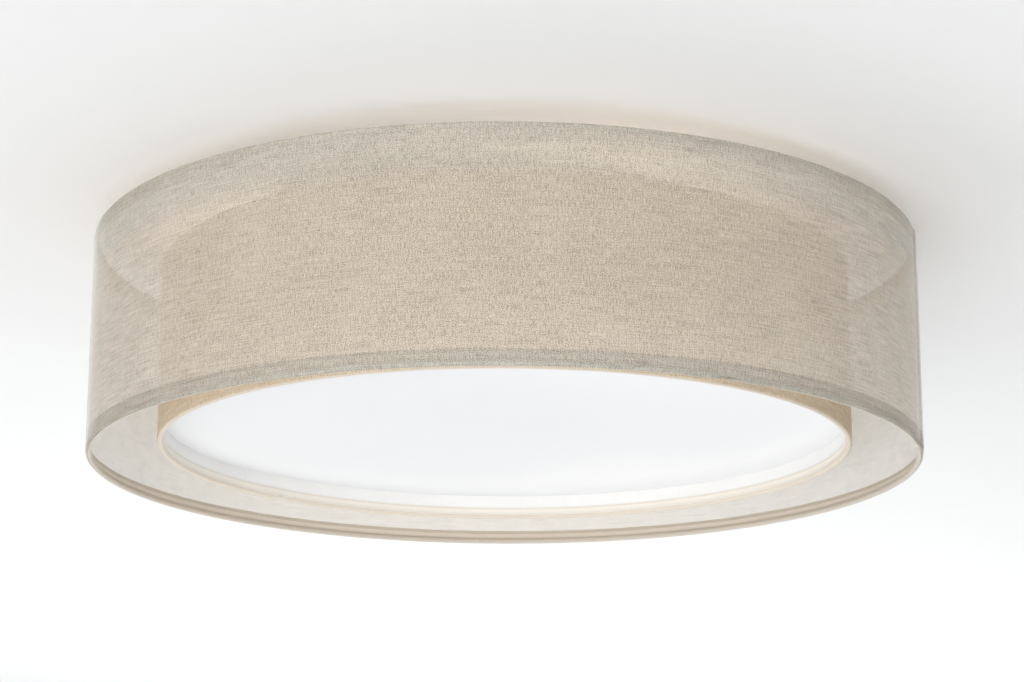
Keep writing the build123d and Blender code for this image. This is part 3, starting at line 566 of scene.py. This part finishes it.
def strip(
    name,
    profile,
    parts,
    seam,
    overlap,
    lap,
    wobble,
    pucker,
    count=720,
    edge_wave=0.0,
    mat=None,
    notches=(),
    knot=None,
):
    """A strip of cloth swept round the axis: profile is (r, z) points, parts says which part each belongs to.
    The strip runs a full turn and an overlap further, its end lying lap further out. knot is (height, half
    width in degrees, amount) of the lump where the folded end is turned over the bottom ring."""
    radius = max(p[0] for p in profile)
    extra = math.degrees(overlap / radius)
    step = (360.0 + extra) / count
    lengths = [0.0]
    for p, q in zip(profile, profile[1:]):
        lengths.append(lengths[-1] + math.dist(p, q))
    verts, uvs = [], []
    for i in range(count + 1):
        turn = i * step
        angle = math.radians(seam + turn)
        c, s = math.cos(angle), math.sin(angle)
        # the last stretch climbs over the first
        t = min(1.0, max(0.0, (turn - (360.0 - extra * 0.55)) / (extra * 0.5)))
        out = lap * (t * t * (3 - 2 * t))
        for j, ((r, z), part) in enumerate(zip(profile, parts)):
            low = noise.noise(Vector((c * 6.0, s * 6.0, z * 9.0 + 3.1)))
            mid = noise.noise(Vector((c * 40.0, s * 40.0, z * 60.0)))
            fine = noise.noise(Vector((c * 170.0, s * 170.0, z * 420.0 + 9.0)))
            if part == "wall":
                move = wobble * (0.7 * low + 0.3 * mid)
                dz = 0.0
                share = 1.0
            elif part == "bead":
                move = pucker * (0.55 * fine + 0.45 * mid)
                dz = pucker * 0.5 * fine
                share = 1.0
            else:
                move = wobble * 0.4 * mid
                dz = 0.0
                share = -1.0
            if part == "edge":
                dz = edge_wave * (0.6 * mid + 0.4 * fine)
            # beads thicken round the wire where the strip laps, flaps go further in
            rr = r + move + out * share
            if knot and z < knot[0] + 0.006 and part != "edge":
                near = math.exp(-(((turn - (360.0 + extra - 1.2)) / knot[1]) ** 2))
                level = 1.0 if z < knot[0] else 1.0 - (z - knot[0]) / 0.006
                rr += share * knot[2] * near * level * (0.75 + 0.5 * fine)
            verts.append((rr * c, rr * s, z + dz))
            uvs.append((math.radians(turn) * radius, lengths[j]))
    n = len(profile)
    faces = []
    for i in range(count):
        for j in range(n - 1):
            a = i * n + j
            faces.append((a, a + 1, a + n + 1, a + n))  # facing outwards
    mesh = bpy.data.meshes.new(name)
    mesh.from_pydata(verts, [], faces)
    layer = mesh.uv_layers.new(name="flat")
    index = np.empty(len(mesh.loops), dtype=np.int32)
    mesh.loops.foreach_get("vertex_index", index)
    flat = np.asarray(uvs, dtype=np.float32)[index]
    layer.data.foreach_set("uv", flat.ravel())
    mesh.polygons.foreach_set("use_smooth", [True] * len(mesh.polygons))
    mesh.update()
    obj = bpy.data.objects.new(name, mesh)
    bpy.context.scene.collection.objects.link(obj)
    if mat:
        mesh.materials.append(mat)
    # cut the notches for the arms
    if notches:
        import bmesh

        bm = bmesh.new()
        bm.from_mesh(mesh)
        gone = []
        for f in bm.faces:
            p = f.calc_center_median()
            for azimuth, half, r0, r1, z0, z1 in notches:
                a = math.radians(azimuth)
                along = p.x * math.cos(a) + p.y * math.sin(a)
                side = -p.x * math.sin(a) + p.y * math.cos(a)
                if abs(side) < half and r0 < along < r1 and z0 < p.z < z1:
                    gone.append(f)
                    break
        bmesh.ops.delete(bm, geom=gone, context="FACES")
        bm.to_mesh(mesh)
        bm.free()
        mesh.update()
    return obj, lengths[-1], math.radians(360.0) * radius + overlap


def run(points):
    """Length along a profile up to each of its points."""
    total = [0.0]
    for p, q in zip(points, points[1:]):
        total.append(total[-1] + math.dist(p, q))
    return total


# outer drum: inner flap, under and round the top ring, wall, round the bottom ring, inner flap
wall_r = OUTER_R - CLOTH / 2
wire_r = OUTER_R - BEAD_R
roll = BEAD_R - CLOTH / 2
top_z, bottom_z = OUTER_TOP - BEAD_R, OUTER_BOTTOM + BEAD_R
flap_r = OUTER_R - 0.0009
profile, parts = [], []


def put(points, part):
    for p in points:
        profile.append(p)
        parts.append(part)


put([(flap_r, OUTER_TOP - 0.0125)], "edge")
put(straight(profile[-1], (flap_r, OUTER_TOP - 0.0053), 4), "flap")
put([(flap_r - 0.0004, OUTER_TOP - 0.0050)], "flap")
put(arc(wire_r, top_z, roll, 235.0, 0.0, 18), "bead")
wall_start = len(profile) - 1
put(straight((wall_r, top_z), (wall_r, bottom_z), 40), "wall")
parts[-1] = "bead"
wall_end = len(profile) - 1
put(arc(wire_r, bottom_z, roll, 0.0, -235.0, 18)[1:], "bead")
bead_end = len(profile) - 1
put([(flap_r - 0.0004, OUTER_BOTTOM + 0.0050), (flap_r, OUTER_BOTTOM + 0.0053)], "flap")
put(straight(profile[-1], (flap_r, OUTER_BOTTOM + 0.0110), 4), "flap")
parts[-1] = "edge"

far = run(profile)
# over the white ring the sheer cloth shows lighter, the bead painted lighter still; the crease and turned-up flap
# inside the bottom ring are painted lighter as if lit, and its folded edge is double and darker
linen_outer = cloth(
    "sheer_linen",
    linear(168, 157, 144),
    linear(251, 243, 231),
    open_share=OPEN_SHARE,
    back_share=0.42,
    seed=0.0,
    hues=((0.53, 0.49, 0.47, 1.0), (0.48, 0.515, 0.49, 1.0)),
    bands_and_painted_light=(
        (far[wall_end] + 0.0032, far[bead_end] - 0.0006, linear(230, 222, 211)),
        (far[bead_end] - 0.0006, far[bead_end] + 0.0006, linear(220, 210, 195)),
        (far[bead_end] + 0.0006, far[-1] - 0.0025, linear(240, 229, 214)),
        (far[-1] - 0.0025, far[-1] + 0.001, linear(210, 198, 179)),
    ),
    # painted shade: both hem strips darker, for their double cloth and for the light it shuts out from behind; the
    # strip under the top hem darker and cooler; the wall darker towards the bottom; the rest of the wall faintly
    # tinted
    tints_and_painted_shade=(
        (far[wall_start] - 0.004, far[wall_start] + 0.0101, (0.87, 0.895, 0.905), 0.0003, 0.0003),
        (far[wall_start] + 0.0101, far[wall_start] + 0.030, (0.878, 0.920, 0.951), 0.0003, 0.009),
        (far[wall_start] + 0.0101, far[wall_end] - 0.0086, (0.985, 0.973, 0.957), 0.0003, 0.0003),
        (far[wall_start] + 0.095, far[wall_end] - 0.0086, (0.945, 0.945, 0.94), 0.030, 0.0003),
        (far[wall_end] - 0.0086, far[wall_end] + 0.0032, (0.755, 0.785, 0.795), 0.0003, 0.0003),
    ),
    # painted shade: hem strips and wall darker on two opposite stretches of the drum
    painted_side_shade=(
        (far[wall_start] - 0.004, far[wall_start] + 0.0101, (0.77, 0.765, 0.765)),
        (far[wall_start] + 0.0101, far[wall_end] - 0.0086, (0.914, 0.932, 0.955)),
        (far[wall_end] - 0.0086, far[wall_end] + 0.0032, (0.81, 0.78, 0.765)),
    ),
    # the inner face is whiter, and shines a little as painted light
    lining_and_painted_glow=linear(250, 248, 246) + (0.85, 0.16),
    sheen=0.3,
    fuzz_and_painted_sheen=(2.4, (0.90, 0.91, 0.88, 1.0)),
)

outer_cloth, width, length = strip(
    "outer_shade_cloth",
    profile,
    parts,
    seam=SEAM_AZIMUTH,
    overlap=0.014,
    lap=0.0007,
    wobble=0.00018,
    pucker=0.00022,
    count=760,
    edge_wave=0.0004,
    mat=linen_outer,
    knot=(OUTER_BOTTOM + 0.0045, 1.1, 0.0005),
    notches=[(a, 0.0066, 0.2935, 0.2976, top_z - 0.0014, top_z + 0.0014) for a in ARM_AZIMUTHS],
)
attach(outer_cloth, "shade")
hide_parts("outer_shade_fabric")

# inner drum
profile, parts = [], []
wall_r = INNER_R - CLOTH / 2
wire_r = INNER_R - BEAD_R
top_z, bottom_z = INNER_TOP - BEAD_R, INNER_BOTTOM + BEAD_R
put(arc(wire_r, top_z, roll, 262.0, 0.0, 20), "bead")
put(straight((wall_r, top_z), (wall_r, bottom_z), 34), "wall")
parts[-1] = "bead"
wall_end = len(profile) - 1
put(arc(wire_r, bottom_z, roll, 0.0, -217.0, 18)[1:], "bead")
bead_end = len(profile) - 1
put(straight(profile[-1], (INNER_R - 0.00415, INNER_BOTTOM + 0.0090), 5), "flap")
parts[-1] = "edge"

far = run(profile)
# painted light: the cloth turned up inside the bottom ring is painted pale and glows, standing in for the sheet's
# light on it
linen_inner = cloth(
    "beige_linen",
    linear(200, 180, 153),
    linear(250, 236, 214),
    open_share=0.0,
    back_share=0.30,
    pitch=0.0006,
    seed=40.0,
    bands_and_painted_light=(
        (far[wall_end] + 0.0014, far[bead_end] - 0.0010, linear(241, 231, 218)),
        (far[bead_end] - 0.0010, far[-1] - 0.0012, linear(254, 248, 239)),
        (far[-1] - 0.0012, far[-1] + 0.001, linear(238, 232, 222)),
    ),
    painted_glow=(far[wall_end] + 0.0030, far[-1] + 0.001, (1.0, 0.95, 0.88, 1.0), 0.07),
)
inner_cloth, width, length = strip(
    "inner_shade_cloth",
    profile,
    parts,
    seam=SEAM_AZIMUTH + 150.0,
    overlap=0.012,
    lap=0.0006,
    wobble=0.00015,
    pucker=0.00018,
    count=640,
    mat=linen_inner,
    notches=[(a, 0.0066, 0.243, 0.2515, top_z - 0.0001, top_z + 0.004) for a in ARM_AZIMUTHS],
)
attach(inner_cloth, "shade")
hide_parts("inner_shade_fabric")

# ---------------------------------------------------------------------------
# Stage: ceiling with the pan's opening, floor, lights, camera
# ---------------------------------------------------------------------------


def one_sided(name, colour):
    """A matt face that is only there from its front."""
    b = Build(name)
    grain = b.noise(object_coords(b), 40.0, 3.0)
    d = b.new("ShaderNodeBsdfDiffuse")
    b.link(
        b.mix_colour(grain, tuple(c * 0.985 for c in colour[:3]) + (1,), colour), d.inputs["Color"]
    )
    t = b.new("ShaderNodeBsdfTransparent")
    g = b.new("ShaderNodeNewGeometry")
    return b.done(b.mix_shader(g.outputs["Backfacing"], d.outputs[0], t.outputs[0]))


def ceiling(size, hole, count=96):
    verts, faces = [], []
    for i in range(count):
        a = 2 * math.pi * i / count
        c, s = math.cos(a), math.sin(a)
        k = size / max(abs(c), abs(s))
        verts += [(hole * c, hole * s, 0.0), (k * c, k * s, 0.0)]
    for i in range(count):
        a, b_ = 2 * i, 2 * ((i + 1) % count)
        faces.append((a, b_, b_ + 1, a + 1))  # faces down
    mesh = bpy.data.meshes.new("ceiling")
    mesh.from_pydata(verts, [], faces)
    mesh.materials.append(one_sided("ceiling_paint", (0.86, 0.865, 0.87, 1.0)))
    obj = bpy.data.objects.new("ceiling", mesh)
    bpy.context.scene.collection.objects.link(obj)
    obj.location.z = 0.0004
    return obj


ceiling(4.5, 0.168)

mesh = bpy.data.meshes.new("floor")
mesh.from_pydata([(-30, -30, -2.3), (30, -30, -2.3), (30, 30, -2.3), (-30, 30, -2.3)], [], [(0, 1, 2, 3)])
b = Build("floor_pale")
grain = b.noise(object_coords(b), 3.0, 3.0)
d = b.new("ShaderNodeBsdfDiffuse")
b.link(b.mix_colour(grain, (0.80, 0.80, 0.795, 1), (0.83, 0.83, 0.825, 1)), d.inputs["Color"])
b.done(d.outputs[0])
mesh.materials.append(b.mat)
floor = bpy.data.objects.new("floor", mesh)
bpy.context.scene.collection.objects.link(floor)

world = bpy.data.worlds.new("studio")
bpy.context.scene.world = world
world.use_nodes = True
background = world.node_tree.nodes.get("Background") or world.node_tree.nodes.new("ShaderNodeBackground")
background.inputs["Color"].default_value = (1.0, 1.0, 1.0, 1.0)
background.inputs["Strength"].default_value = WORLD


def area(name, place, aim, size, power, colour=(1.0, 1.0, 1.0)):
    data = bpy.data.lights.new(name, "AREA")
    data.shape = "RECTANGLE"
    data.size, data.size_y = size
    data.energy = power
    data.color = colour
    obj = bpy.data.objects.new(name, data)
    bpy.context.scene.collection.objects.link(obj)
    obj.location = place
    obj.rotation_mode = "QUATERNION"
    obj.rotation_quaternion = (Vector(aim) - Vector(place)).to_track_quat("-Z", "Y")
    obj.visible_camera = False
    return obj


area("key", (-1.0, -3.6, -1.6), (0.0, 0.0, -0.1), (2.4, 1.6), KEY)
area("side", (-3.0, -0.6, -1.5), (0.0, 0.0, -0.1), (2.0, 1.4), SIDE)
area("up", (1.8, -0.9, -2.2), (0.9, -0.3, 0.0), (1.6, 1.6), UP)
area("up_left", (-2.2, -0.9, -2.0), (-1.6, -0.3, 0.0), (1.4, 1.4), 5.0)
area("ceiling_wash", (0.15, 2.3, -1.5), (0.25, 2.2, 0.0), (3.8, 2.0), WASH)

camera_data = bpy.data.cameras.new("camera")
camera_data.lens = 96.78
camera_data.sensor_width = 36.0
camera_data.sensor_fit = "AUTO"
camera_data.clip_start, camera_data.clip_end = 0.05, 100.0
camera = bpy.data.objects.new("camera", camera_data)
bpy.context.scene.collection.objects.link(camera)
bpy.context.scene.camera = camera
yaw, pitch, tilt = (math.radians(a) for a in (-1.833, 14.836, 0.154))
forward = Vector(
    (math.sin(yaw) * math.cos(pitch), math.cos(yaw) * math.cos(pitch), math.sin(pitch))
)
right = Vector((math.cos(yaw), -math.sin(yaw), 0.0))
up = right.cross(forward)
right2 = right * math.cos(tilt) + up * math.sin(tilt)
up2 = up * math.cos(tilt) - right * math.sin(tilt)
rotation = Matrix((right2, up2, -forward)).transposed()
camera.matrix_world = Matrix.Translation((0.0674, -1.9455, -0.5958)) @ rotation.to_4x4()

view_settings = bpy.context.scene.view_settings
view_settings.view_transform = "Standard"
view_settings.look = "None"
view_settings.exposure = 0.0
bpy.context.scene.cycles.transparent_max_bounces = 24
bpy.context.scene.cycles.max_bounces = 10
bpy.context.scene.cycles.diffuse_bounces = 6
bpy.context.scene.cycles.transmission_bounces = 8
bpy.context.scene.cycles.sample_clamp_indirect = 6.0
